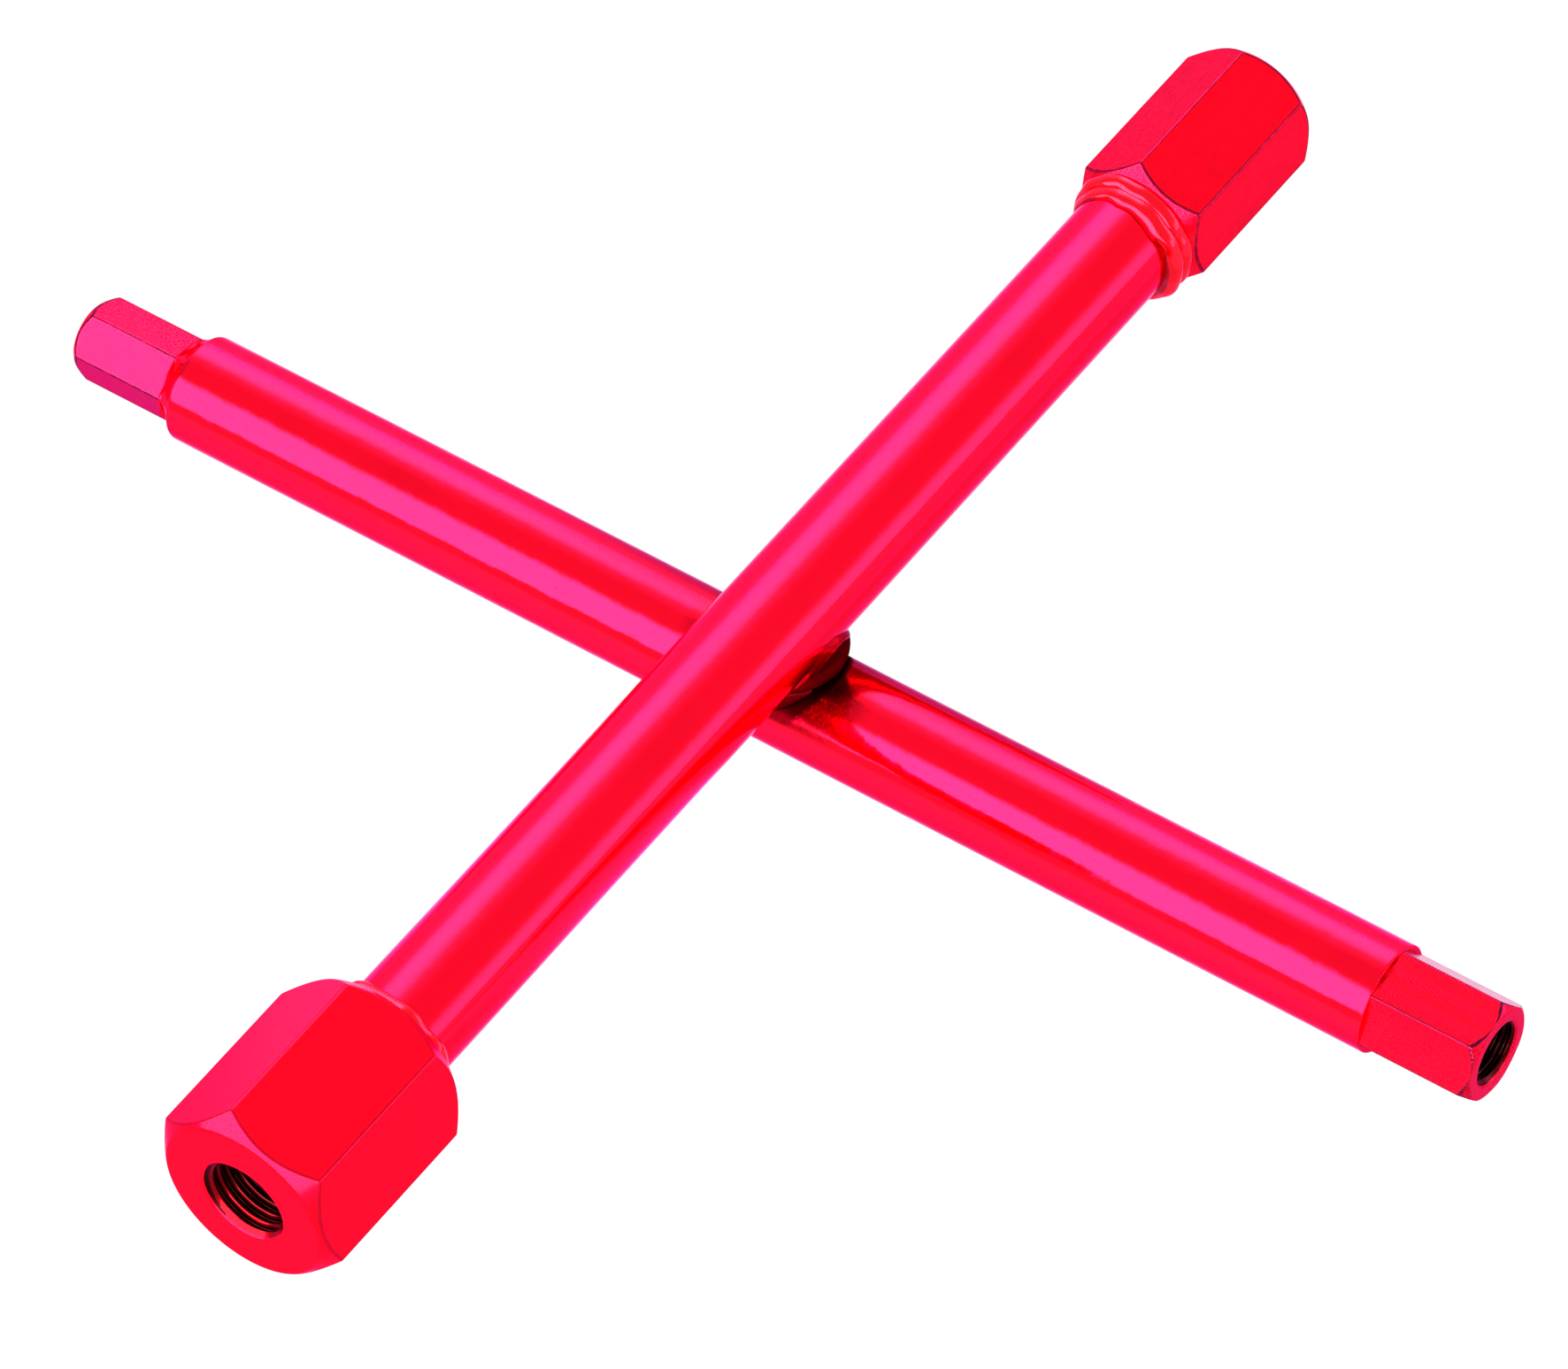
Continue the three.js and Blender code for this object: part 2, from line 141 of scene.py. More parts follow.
def band(first, second):
    """Quads between two closed loops of vertex numbers."""
    pairs = list(zip(first, second))
    return [(near, near_next, far_next, far)
            for (near, far), (near_next, far_next) in zip(pairs, pairs[1:] + pairs[:1])]


def fan(loop, tip):
    return [(loop[j], loop[(j + 1) % len(loop)], tip) for j in range(len(loop))]


def profile(corners, columns):
    """Rows along a profile with rounded corners: radii, stations and edge flags.

    A corner is (radius, station, reach, segments, edge flag, splits). Reach is how
    far the rounding goes from the corner. Splits is the number of rows added inside
    the run to the next corner. Radius and station may vary over the columns.
    """
    spare = 0.22     # distance of the supporting rows from a rounding
    at = [np.stack([np.broadcast_to(np.asarray(value, float), (columns,))
                    for value in corner[:2]]) for corner in corners]
    last = len(corners) - 1
    ends = []        # where the rounding of each corner starts and stops
    for i, (_, _, reach, segments, _, _) in enumerate(corners):
        here = at[i]
        if i in (0, last) or segments == 0:
            ends.append((here, here))
            continue
        before, after = at[i - 1] - here, at[i + 1] - here
        length_before = np.hypot(*before) + 1e-12
        length_after = np.hypot(*after) + 1e-12
        reach = np.minimum(reach, np.minimum(length_before * 0.38, length_after * 0.38))
        ends.append((here + before / length_before * reach, here + after / length_after * reach))
    rows, edges = [], []
    for i, (_, _, _, segments, edge, splits) in enumerate(corners):
        if segments == 0 or i in (0, last):
            rows.append(at[i])
            edges.append(edge)
        else:
            start, stop = ends[i]
            for k in range(segments + 1):
                u = k / segments
                rows.append((1 - u) ** 2 * start + 2 * u * (1 - u) * at[i] + u * u * stop)
                edges.append(edge)
        if i == last or (segments == 0 and corners[i + 1][3] == 0 and splits == 0):
            continue
        start, stop = ends[i][1], ends[i + 1][0]
        length = np.hypot(*(stop - start))
        margin = np.minimum(spare, length * 0.25) / (length + 1e-12)
        inside = [(k + 1) / (splits + 1) for k in range(splits)]
        for fraction in (margin, *inside, 1 - margin):
            rows.append(start + (stop - start) * fraction)
            edges.append(0.0)
    rows = np.array(rows)
    return rows[:, 0], rows[:, 1], np.array(edges)[:, None]


def cut(piece, name, rings, operation):
    """Cuts a piece with the prism that stands between two rings of points."""
    count = len(rings[0])
    first, second = range(count), range(count, 2 * count)
    faces = band(first, second) + [tuple(first)[::-1], tuple(second)]
    cutter = make_object(name, np.concatenate(rings), faces)
    modifier = piece.modifiers.new(name, "BOOLEAN")
    modifier.object = cutter
    modifier.operation = operation
    modifier.solver = "EXACT"
    depsgraph = bpy.context.evaluated_depsgraph_get()
    mesh = bpy.data.meshes.new_from_object(piece.evaluated_get(depsgraph))
    piece.modifiers.clear()
    piece.data = mesh
    mesh.set_sharp_from_angle(angle=math.radians(32))
    bpy.data.objects.remove(cutter)
    return piece


def drill(piece, radius, bottom, top):
    """An upright round hole; heights are over the parting plane."""
    rings = [upright(radius, full_turn(96), z) for z in (bottom, top)]
    return cut(piece, "drill", rings, "DIFFERENCE")


def waves(seed, orders, sizes):
    """A smooth periodic function of an angle, the same every run."""
    rng = np.random.default_rng(seed)
    terms = [(order, rng.normal() * size, rng.uniform(0, 2 * math.pi))
             for order, size in zip(orders, sizes)]
    return lambda x: sum(size * np.cos(order * x + phase) for order, size, phase in terms)


# -------------------------------------------------------------------- shading
class Shader:
    """A node tree with an output, a surface node and a texture coordinate."""

    def __init__(self, owner, surface, output="OutputMaterial", coordinate="Object"):
        owner.use_nodes = True
        self.tree = owner.node_tree
        self.tree.nodes.clear()
        output = self.node(output)
        self.surface = self.node(surface)
        self.feed(output.inputs[0], self.surface.outputs[0])
        self.place = self.node("TexCoord").outputs[coordinate]

    def feed(self, socket, value):
        """Links a socket, or sets a number, a vector or an opaque colour."""
        if isinstance(value, bpy.types.NodeSocket):
            self.tree.links.new(value, socket)
        else:
            socket.default_value = (*value, 1) if socket.type == "RGBA" else value

    def set(self, name, value):
        self.feed(self.surface.inputs[name], value)

    def node(self, kind, inputs=None, **settings):
        node = self.tree.nodes.new("ShaderNode" + kind)
        for key, value in settings.items():
            setattr(node, key, value)
        for key, value in (inputs or {}).items():
            self.feed(node.inputs[key], value)
        return node

    def math(self, operation, *values, clamp=False):
        inputs = dict(enumerate(values))
        return self.node("Math", inputs, operation=operation, use_clamp=clamp).outputs[0]

    def mul(self, first, second, clamp=False):
        return self.math("MULTIPLY", first, second, clamp=clamp)

    def add(self, first, second, clamp=False):
        return self.math("ADD", first, second, clamp=clamp)

    def mix(self, factor, first, second):
        return self.node("Mix", {0: factor, 6: first, 7: second}, data_type="RGBA").outputs[2]

    def ramp(self, value, across, to=(0.0, 1.0), smooth=True):
        """Maps the range across onto the range to, and holds it beyond."""
        inputs = {"From Min": across[0], "From Max": across[1],
                  "To Min": to[0], "To Max": to[1], "Value": value}
        kind = "SMOOTHSTEP" if smooth else "LINEAR"
        return self.node("MapRange", inputs, interpolation_type=kind, clamp=True).outputs[0]

    def noise(self, scale, detail=2.0, rough=0.5, stretch=None):
        place = self.place
        if stretch is not None:
            place = self.node("Mapping", {"Scale": stretch, "Vector": place}).outputs[0]
        inputs = {"Scale": scale, "Detail": detail, "Roughness": rough, "Vector": place}
        return self.node("TexNoise", inputs).outputs["Fac"]

    def axes(self, vector):
        return self.node("SeparateXYZ", {0: vector}).outputs

    def normal(self):
        return self.axes(self.node("TexCoord").outputs["Normal"])

    def attribute(self, name):
        return self.node("Attribute", attribute_name=name).outputs["Fac"]

    def absorb(self, color, mask, floor):
        """Darkens a colour: unchanged where mask is 0, times floor where it is 1."""
        factor = self.math("POWER", floor, mask)
        return self.node("VectorMath", {0: color, "Scale": factor}, operation="SCALE").outputs[0]

    def bump(self, layers):
        """Stacks bumps of (height, distance) and feeds them to the surface."""
        normal = None
        for height, distance in layers:
            inputs = {"Distance": distance, "Height": height}
            if normal is not None:
                inputs["Normal"] = normal
            normal = self.node("Bump", inputs).outputs[0]
        self.set("Normal", normal)


RED = (0.95, 0.0016, 0.0215)
EDGE_TINT = (1.0, 0.36, 0.74)        # colour of the reflection at grazing angles
DARK_EDGE = (0.085, 0.003, 0.022)
SPECK = (0.07, 0.002, 0.012)
GRAIN_RED = (0.40, 0.0010, 0.012)
HATCH_RED = (0.42, 0.001, 0.011)
PAINTED_SHADE_TINT = (0.16, 0.008, 0.035)


def add_grain(shader, color, stretch, depth, axis, side):
    """Streaks, strongest where the normal along axis passes through side."""
    grain = shader.noise(scale=1.0, detail=2, rough=0.65, stretch=stretch)
    facing = shader.ramp(shader.normal()[axis], across=side, to=(0.08, 1.0))
    streaks = shader.ramp(grain, across=(0.42, 0.66), to=(0.0, depth))
    return shader.mix(shader.mul(streaks, facing), color, GRAIN_RED), grain


def add_hatch(shader, color, strength):
    """Cutter marks across the axis, broken up along it."""
    across = shader.node(
        "TexWave", {"Scale": 560.0, "Distortion": 0.8, "Detail": 1.0, "Vector": shader.place},
        wave_type="BANDS", bands_direction="X")
    along = shader.node("TexWave", {"Scale": 430.0, "Distortion": 1.2, "Vector": shader.place},
                        wave_type="BANDS", bands_direction="Z")
    hatch = shader.mul(across.outputs["Fac"], along.outputs["Fac"])
    mask = shader.ramp(hatch, across=(0.10, 0.50), to=(strength, 0.0))
    return shader.mix(mask, color, HATCH_RED), hatch


def darken_edges(shader, color, strength):
    """Dark lines on the crests and toes that carry the edge flag, unevenly."""
    edge_breakup = shader.ramp(shader.noise(scale=700, detail=3, rough=0.6),
                       across=(0.30, 0.60), to=(0.72, 1.0))
    mask = shader.ramp(shader.attribute("edge"), across=(0.40, 1.0))
    mask = shader.mul(shader.mul(mask, strength), edge_breakup, clamp=True)
    return shader.mix(mask, color, DARK_EDGE)


def darken_bore(shader, color, across, root):
    """Paints shade into a bore, darker with its depth in mm, and into the thread's roots by
    root.
    """
    depth = shader.attribute("bore")
    groove = shader.attribute("root")
    inside = shader.ramp(depth, across=across, to=(0.30, 1.0), smooth=False)
    groove = shader.ramp(groove, across=(0.20, 0.75), to=(0.0, root))
    present = shader.math("GREATER_THAN", depth, 0.04)
    mask = shader.mul(shader.math("MAXIMUM", inside, groove), present, clamp=True)
    return shader.absorb(color, mask, floor=0.016)


def crossing_grime(shader, color, strength):
    """Painted shade on top of the lower tube, round the crossing, broken up by speckles.
    Distances are in metres.
    """
    x, y, z = shader.axes(shader.place)
    radius = shader.math("SQRT", shader.add(shader.mul(x, x), shader.mul(y, y)))
    inner = shader.ramp(radius, across=(0.0117, 0.0102), to=(0.0, 0.8))
    outer = shader.ramp(radius, across=(0.0205, 0.0100), to=(0.0, 0.74))
    speck = shader.ramp(shader.noise(scale=1500, detail=5, rough=0.8),
                        across=(0.34, 0.66), to=(0.42, 1.0))
    outer = shader.mul(outer, shader.ramp(y, across=(0.0045, -0.0030), to=(0.30, 1.0)))
    mask = shader.add(inner, shader.mul(outer, speck), clamp=True)
    mask = shader.mul(mask, shader.ramp(z, across=(0.0120, 0.0165)))
    # painted shade each side of the crossing, on the +Y flank of the tube
    patch = shader.mul(
        shader.ramp(shader.math("ABSOLUTE", x), across=(0.075, 0.012), to=(0.0, 0.20)),
        shader.ramp(shader.normal()[1], across=(-0.12, 0.30)))
    color = shader.absorb(color, patch, floor=0.022)
    mask = shader.mul(mask, strength, clamp=True)
    return shader.absorb(color, mask, floor=0.022), mask


def wall_grime(shader, color, strength):
    """Painted shade, where the mesh's attribute asks for it."""
    grime = shader.attribute("grime")
    uneven = shader.ramp(shader.noise(scale=800, detail=4, rough=0.7),
                         across=(0.30, 0.70), to=(0.86, 1.0))
    mask = shader.mul(shader.mul(grime, uneven), strength, clamp=True)
    return shader.absorb(color, mask, floor=0.055), mask


def lacquer(name, rough, peel, wave=0.05, peel_scale=420.0, vary=0.15, coat=0.05,
            base=RED, tint=EDGE_TINT, edge_dark=0.8, grain=None, flank=None, hatch=0.0,
            specks=0.0, bore=None, grime=None):
    """Candy lacquer over bright steel: a red mirror that keeps its red at the edges.

    peel and wave are the heights in mm of the fine and the broad unevenness, vary how
    much darker the lacquer is in places. grain, flank and bore hold the values of
    those layers; the last argument is the function that adds painted shade.
    """
    material = bpy.data.materials.new(name)
    shader = Shader(material, "BsdfPrincipled")
    thick = shader.ramp(shader.noise(scale=70, detail=3, rough=0.55),
                        across=(0.45, 0.80), to=(0.0, vary))
    color = shader.mix(thick, base, tuple(c * 0.45 for c in base))
    shader.set("Metallic", 1.0)
    shader.set("Specular Tint", tint)
    shader.set("Coat Weight", coat)
    shader.set("Coat Roughness", 0.08)
    bumps = [(shader.noise(scale=90, detail=1, rough=0.4), wave * MM),
             (shader.noise(scale=peel_scale), peel * MM)]

    if grain:
        color, height = add_grain(shader, color, **grain)
        bumps.append((height, grain["depth"] * 0.12 * MM))
    if flank:
        # one flat of the hexagon, picked by the way it faces, gets its own colour and reflection
        # tint
        mask = shader.ramp(shader.normal()[flank["axis"]], across=flank["side"])
        color = shader.mix(shader.mul(mask, 0.9), color, flank["color"])
        shader.set("Specular Tint", shader.mix(mask, tint, flank["tint"]))
    if hatch:
        color, height = add_hatch(shader, color, hatch)
        bumps.append((height, 0.04 * MM))
    color = darken_edges(shader, color, edge_dark)
    if specks:
        mask = shader.ramp(shader.noise(scale=1500, detail=4, rough=0.7),
                           across=(0.63, 0.72), to=(0.0, specks))
        color = shader.mix(mask, color, SPECK)
    if bore:
        color = darken_bore(shader, color, **bore)
    roughness = shader.ramp(shader.noise(scale=260, detail=3, rough=0.6), across=(0.2, 0.8),
                            to=(rough * 0.85, rough * 1.2), smooth=False)
    # painted shade: darkens the colour and the reflection tint, takes away the coat and roughens
    # the lacquer
    if grime:
        color, mask = grime(shader, color, strength=1.0)
        shader.set("Specular Tint", shader.mix(mask, tint, PAINTED_SHADE_TINT))
        shader.set("Coat Weight", shader.ramp(mask, across=(0.0, 0.6), to=(coat, 0.0)))
        roughness = shader.add(roughness, shader.mul(mask, 0.30), clamp=True)
    shader.set("Base Color", color)
    shader.set("Roughness", roughness)
    shader.bump(bumps)
    return material


def metal(name, color, rough):
    """Bare metal, unevenly dark and rough."""
    material = bpy.data.materials.new(name)
    shader = Shader(material, "BsdfPrincipled")
    patches = shader.noise(scale=270.0, detail=4, rough=0.6)
    shader.set("Base Color", shader.mix(patches, color, tuple(c * 0.6 for c in color)))
    shader.set("Metallic", 1.0)
    shader.set("Roughness", shader.ramp(patches, across=(0.0, 1.0),
                                        to=(rough * 0.8, rough * 1.3), smooth=False))
    shader.bump([(shader.noise(scale=900.0, detail=3, rough=0.6), 0.05 * MM)])
    return material


UPPER_TUBE_RED = lacquer("red_lacquer_upper_tube", rough=0.13, peel=0.03, vary=0.12)
LOWER_TUBE_RED = lacquer("red_lacquer_lower_tube", rough=0.095, peel=0.11, peel_scale=230,
                         wave=0.06, vary=0.12, grime=crossing_grime)
LARGE_HEAD_RED = lacquer("red_lacquer_large_head", rough=0.24, peel=0.025, wave=0.03,
                         bore=dict(across=(0.1, 9.0), root=0.97), edge_dark=0.45,
                         base=(0.95, 0.0010, 0.0150), tint=(1.0, 0.27, 0.66))
MEDIUM_HEAD_RED = lacquer("red_lacquer_medium_head", rough=0.24, peel=0.02, wave=0.02,
                          grain=dict(stretch=(1100, 300, 1100), depth=0.75,
                                     axis=0, side=(-0.15, -0.35)),
                          bore=dict(across=(0.1, 8.0), root=0.97), edge_dark=0.85,
                          base=(0.93, 0.0008, 0.0140), tint=(1.0, 0.24, 0.62))
SMALL_BIT_RED = lacquer("red_lacquer_small_bit", rough=0.20, peel=0.02, wave=0.02,
                        grain=dict(stretch=(500, 1500, 1500), depth=0.55,
                                   axis=1, side=(0.2, 0.5)),
                        edge_dark=1.0, tint=(1.0, 0.14, 0.50),
                        flank=dict(axis=1, side=(-0.86, -0.94),
                                   color=(0.66, 0.010, 0.125), tint=(1.0, 0.2, 0.6)))
TAPPED_BIT_RED = lacquer("red_lacquer_tapped_bit", rough=0.22, peel=0.015, wave=0.01, hatch=0.6,
                         bore=dict(across=(-1.0, 1.2), root=1.0), edge_dark=1.0,
                         tint=(1.0, 0.24, 0.60),
                         flank=dict(axis=1, side=(0.66, 0.73),
                                    color=(0.64, 0.065, 0.25), tint=(0.84, 0.80, 0.97)))
WELD_RED = lacquer("red_lacquer_weld", rough=0.11, peel=0.05, peel_scale=500, wave=0.16,
                   vary=0.35, specks=0.9, coat=0.18, base=(0.94, 0.0010, 0.0150),
                   tint=(1.0, 0.30, 0.68))
BOSS_RED = lacquer("red_lacquer_boss", rough=0.22, peel=0.06, peel_scale=600, wave=0.08,
                   vary=0.4, grime=wall_grime)
STEEL = metal("zinc_plated_steel", color=(0.62, 0.63, 0.66), rough=0.3)
SPRING_STEEL = metal("dark_spring_steel", color=(0.24, 0.25, 0.28), rough=0.35)
BRONZE = metal("bearing_bronze", color=(0.66, 0.45, 0.2), rough=0.3)
ARCH_RED = lacquer("red_lacquer_arch_weld", rough=0.14, peel=0.06, peel_scale=600, wave=0.08,
                   vary=0.25, grime=wall_grime)


def finish_piece(piece, body, material, node):
    piece.data.materials.clear()
    piece.data.materials.append(material)
    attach(piece, body)
    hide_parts(node)
    return piece


# ---------------------------------------------------------------------- tubes
def tube(name, place, start, end, bevels=(0.2, 0.2), edges=(0.0, 0.0)):
    """A tube; bevels and edge flags are for its start and its end."""
    angle = full_turn(192)
    radii, stations, edge = profile([
        (TUBE_BORE, start, 0, 0, 0.0, 1),
        (TUBE_R, start, bevels[0], 5, edges[0], 60),
        (TUBE_R, end, bevels[1], 5, edges[1], 1),
        (TUBE_BORE, end, 0, 0, 0.0, 0),
    ], len(angle))
    return ring_mesh(name, place(radii, angle, stations), closed=True, edge=edge)


SPIGOT_HOLE = 6.7    # radius of the hole in a tube for the boss's spigot
FACE_HOLE = 6.1      # radius of the hole in the lower tube for the bush

piece = tube("upper_tube_skin", upper, start=-116.38, end=107.75)
drill(piece, SPIGOT_HOLE, bottom=-2.0, top=AXIS)
finish_piece(piece, "upper_bar", UPPER_TUBE_RED, "upper_tube")

piece = tube("lower_tube_skin", lower, start=-126.75, end=122.4,
             bevels=(0.9, 0.35), edges=(0.7, 0.5))
drill(piece, FACE_HOLE, bottom=-21.5, top=-11.0)
drill(piece, SPIGOT_HOLE, bottom=-AXIS, top=2.0)
finish_piece(piece, "lower_bar", LOWER_TUBE_RED, "lower_tube")


# ---------------------------------------------------------------------- heads
def hex_columns(turn, across, corner):
    """Columns round a hexagon with rounded corners: angles, radii, corner flags."""
    apothem = across / 2
    half, sixth = math.radians(30), math.radians(60)
    # angle from a corner to where its rounding meets the flat
    limit = half - math.atan2((apothem - corner) * math.tan(half), apothem)
    centre = (apothem - corner) / math.cos(half)    # centre of the rounding
    bend = np.linspace(-limit, limit, 5)
    bend_radii = centre * np.cos(bend) + np.sqrt(corner ** 2 - (centre * np.sin(bend)) ** 2)
    # the flat, with columns closer together near its ends
    low, high = limit, sixth - limit
    step = 0.25 / apothem
    flat = np.concatenate([[low + step, low + 2.4 * step],
                           np.linspace(low + 5 * step, high - 5 * step, 15),
                           [high - 2.4 * step, high - step]])
    radii = np.concatenate([bend_radii, apothem / np.cos(flat - half)])
    corners = np.radians(turn + 60 * np.arange(6))[:, None]
    angles = (corners + np.concatenate([bend, flat])).ravel()
    flags = np.repeat([1.0, 0.0], [len(bend), len(flat)])
    return angles, np.tile(radii, 6), np.tile(flags, 6)


def thread_rows(angle, face, inward, core, major, pitch, mouth, depth):
    """Rows of an internal thread from the bottom of the bore to near its mouth.

    Gives radii, stations, depths and a flag that rises towards the thread's root.
    """
    count = int(depth / pitch * 12)
    depths = depth * np.arange(count, 1, -1)[:, None] / count
    phase = (depths / pitch - inward * angle / (2 * math.pi)) % 1.0
    # a truncated form: 1 at the crest, on the core, and 0 at the root
    crest = np.abs(phase - 0.5) * 2
    root = np.clip((0.86 - crest) / 0.72, 0, 1)
    root = root * root * (3 - 2 * root) * 0.35 + root * 0.65
    run_out = np.clip((depth - depths) / (1.2 * pitch), 0, 1)
    radii = core + (major - core) * root
    radii = core + (radii - core) * run_out
    cone = mouth - depths    # countersink at the mouth
    radii = np.maximum(radii, cone)
    return radii, face + inward * depths, depths, np.where(radii > cone + 1e-6, root, 0.0)


def hex_head(name, place, hexagon, face, face_corner, back, back_corner,
             bore=None, reach=0.32):
    """A hexagonal head with 45 degree cones at both ends.

    face and back are the stations of the end faces, face_corner and back_corner
    those where the corners end. reach is the rounding of its edges.
    """
    angle, hex_radius, on_corner = hex_columns(**hexagon)
    inward = 1 if back > face else -1
    point_radius = hexagon["across"] / math.sqrt(3)
    face_radius = point_radius - abs(face_corner - face)
    back_radius = point_radius - abs(back - back_corner)
    blocks = []

    def add_rows(radii, stations, edge=0.0, depth=-1.0, root=0.0):
        spread = np.broadcast_arrays(radii, stations, edge, depth, root, angle)
        blocks.append(np.stack(spread[:5]))

    if bore:
        core, mouth, depth = bore["core"], bore["mouth"], bore["depth"]
        # the cone at the bottom of the bore
        add_rows([[0.0], [core * 0.97]],
                 [[face + inward * (depth + core * 0.58)], [face + inward * (depth + 0.05)]],
                 depth=depth)
        radii, stations, depths, root = thread_rows(angle, face, inward, **bore)
        add_rows(radii, stations, depth=depths, root=root)
        entry = [(mouth - 0.28, face + inward * 0.28, 0, 0, 0.4, 0),
                 (mouth, face, 0.2, 3, 0.6, 3)]
    else:
        entry = [(0.0, face, 0, 0, 0.0, 3)]
    radii, stations, edge = profile(entry + [
        (face_radius, face, reach, 4, 0.55, 2),
        (hex_radius, face + inward * (hex_radius - face_radius), reach, 4, 1.0, 14),
        (hex_radius, back - inward * (hex_radius - back_radius), reach, 4, 1.0, 2),
        (back_radius, back, reach, 4, 0.55, 2),
        (0.0, back, 0, 0, 0.0, 0),
    ], len(angle))
    # corner columns carry the edge flag only on rows that follow the hexagon
    on_hexagon = np.abs(radii - hex_radius) < 0.35
    add_rows(radii, stations, edge=np.maximum(edge, on_corner * on_hexagon))
    radii, stations, edge, depths, root = np.concatenate(blocks, axis=1)
    return ring_mesh(name, place(radii, angle, stations), edge=edge, bore=depths, root=root)


finish_piece(
    hex_head("large_head_skin", upper, LARGE_HEX, face=-154.05, face_corner=-150.85,
             back=-116.4, back_corner=-119.5,
             bore=dict(core=6.95, major=8.0, pitch=2.0, mouth=8.27, depth=28.0)),
    "upper_bar", LARGE_HEAD_RED, "large_hex_head")
finish_piece(
    hex_head("medium_head_skin", upper, MEDIUM_HEX, face=145.55, face_corner=142.95,
             back=107.8, back_corner=110.3,
             bore=dict(core=5.95, major=7.0, pitch=2.0, mouth=7.2, depth=25.0)),
    "upper_bar", MEDIUM_HEAD_RED, "medium_hex_head")
finish_piece(
    hex_head("tapped_bit_skin", lower, TAPPED_HEX, face=143.35, face_corner=141.93,
             back=122.42, back_corner=122.5, reach=0.36,
             bore=dict(core=5.15, major=6.0, pitch=1.75, mouth=6.2, depth=25.0)),
    "lower_bar", TAPPED_BIT_RED, "tapped_hex_bit")
finish_piece(
    hex_head("small_bit_skin", lower, SMALL_HEX, face=-150.0, face_corner=-147.98,
             back=-129.7, back_corner=-129.75, reach=0.45),
    "lower_bar", SMALL_BIT_RED, "small_hex_bit")


# ---------------------------------------------------------------------- welds
def bead(name, node, station, half_width, height, seed, lump, tilt=(0, 0), lean=(0.0, 0.0)):
    """A lumpy weld run round the upper bar.

    tilt shifts its station with the cosine and the sine of the angle. lean is an
    extra height and the angle in degrees it leans to.
    """
    foot = 9.8       # radius its surface starts from, just inside the tube
    buried = 0.6     # depth of its hidden underside below that
    angle = full_turn(420)
    height_lumps = waves(seed, [2, 3, 5, 8, 11, 17],
                         [lump, lump, lump, lump * 0.8, lump * 0.6, lump * 0.2])
    station_lumps = waves(seed + 1, [1, 2, 4, 7, 11],
                          [lump * 0.8, lump * 0.8, lump * 0.7, lump * 0.5, lump * 0.4])
    low_toe = waves(seed + 2, [3, 5, 9, 14], [lump * 0.5] * 4)(angle)
    high_toe = waves(seed + 3, [2, 6, 10, 15], [lump * 0.5] * 4)(angle)
    middle = station + (tilt[0] * np.cos(angle) + tilt[1] * np.sin(angle) + station_lumps(angle))
    height = height + lean[0] * np.cos(angle - math.radians(lean[1])) + height_lumps(angle)

    sweep = np.linspace(0, math.pi, 29)[:, None]
    side = np.cos(sweep)
    bulge = np.maximum(0.0, np.sin(sweep)) ** 0.8
    toe = np.where(side > 0, high_toe, low_toe)
    radii = np.maximum(foot + height * bulge, foot)
    stations = middle + (half_width + toe * np.abs(side)) * side
    edge = np.where(np.abs(side) > 0.94, 0.85, 0.0)
    radii = np.vstack([radii, np.full((2, len(angle)), foot - buried)])
    stations = np.vstack([stations, middle - half_width, middle + half_width])
    edge = np.vstack([edge, [[0.0], [0.0]]])
    piece = ring_mesh(name, upper(radii, angle, stations), closed=True, edge=edge)
    finish_piece(piece, "upper_bar", WELD_RED, node)


bead("medium_head_root_bead", "medium_head_root_weld", station=106.6, half_width=1.9,
     height=2.35, seed=11, lump=0.12, tilt=(0, -0.1))
bead("medium_head_cap_bead", "medium_head_cap_weld", station=104.3, half_width=1.95,
     height=1.95, seed=29, lump=0.22, tilt=(0.2, -0.55), lean=(0.75, 112))
bead("large_head_bead", "large_head_weld", station=-114.5, half_width=2.3,
     height=2.55, seed=37, lump=0.20)


def small_bit_collar(start=-129.85, end=-126.6, end_radius=9.62, inner_radius=6.5):
    """Weld collar: hexagonal at the root of the small hexagon, round at the tube."""
    angle, hex_radius, _ = hex_columns(**SMALL_HEX)
    u = np.linspace(0.06, 1.0, 14)[:, None]
    roundness = 0.35 * u + 0.65 * u * u
    ripple = 0.05 * np.sin(math.pi * u) * np.cos(angle * 11 + 3 * u)
    radii = np.vstack([hex_radius - 1.5, hex_radius - 0.05,
                       (1 - roundness) * hex_radius + roundness * end_radius + ripple,
                       np.full_like(angle, inner_radius)])
    stations = np.vstack([[[start + 0.3], [start]], start + u * (end - start), [[end + 0.3]]])
    edge = np.zeros((len(radii), 1))
    edge[1:3] = 0.75
    piece = ring_mesh("small_bit_collar", lower(radii, angle, stations), closed=True, edge=edge)
    finish_piece(piece, "lower_bar", LOWER_TUBE_RED, "small_bit_weld")


small_bit_collar()

# --------------------------------------------------------------------- bosses
# outline of the upper boss's wall: height over the parting plane, radius
BELLY_Z, BELLY_R = np.array([
    (0.10, 9.70), (0.30, 10.05), (0.60, 10.38), (1.10, 10.70),
    (1.90, 10.85), (2.90, 10.70), (4.00, 10.42), (7.50, 10.40),
]).T
# crest of the arch weld: degrees round the boss from the tube's side, height
CREST = np.array([
    (0, 8.0), (10, 7.5), (20, 6.1), (30, 4.4), (40, 2.7), (48, 1.3), (52, 0.8), (60, 0.8),
]).T
SPIGOT_RADII = (6.5, 4.8, 3.1)    # rows across the end of a spigot
SPIGOT_END = 4.0                  # its distance from the parting plane


def crest_height(degrees):
    return np.interp(np.abs(degrees), *CREST)


def tube_over(x):
    """Height of the upper tube's underside over the parting plane."""
    return AXIS - np.sqrt(np.maximum(0, (TUBE_R - 0.12) ** 2 - x * x))


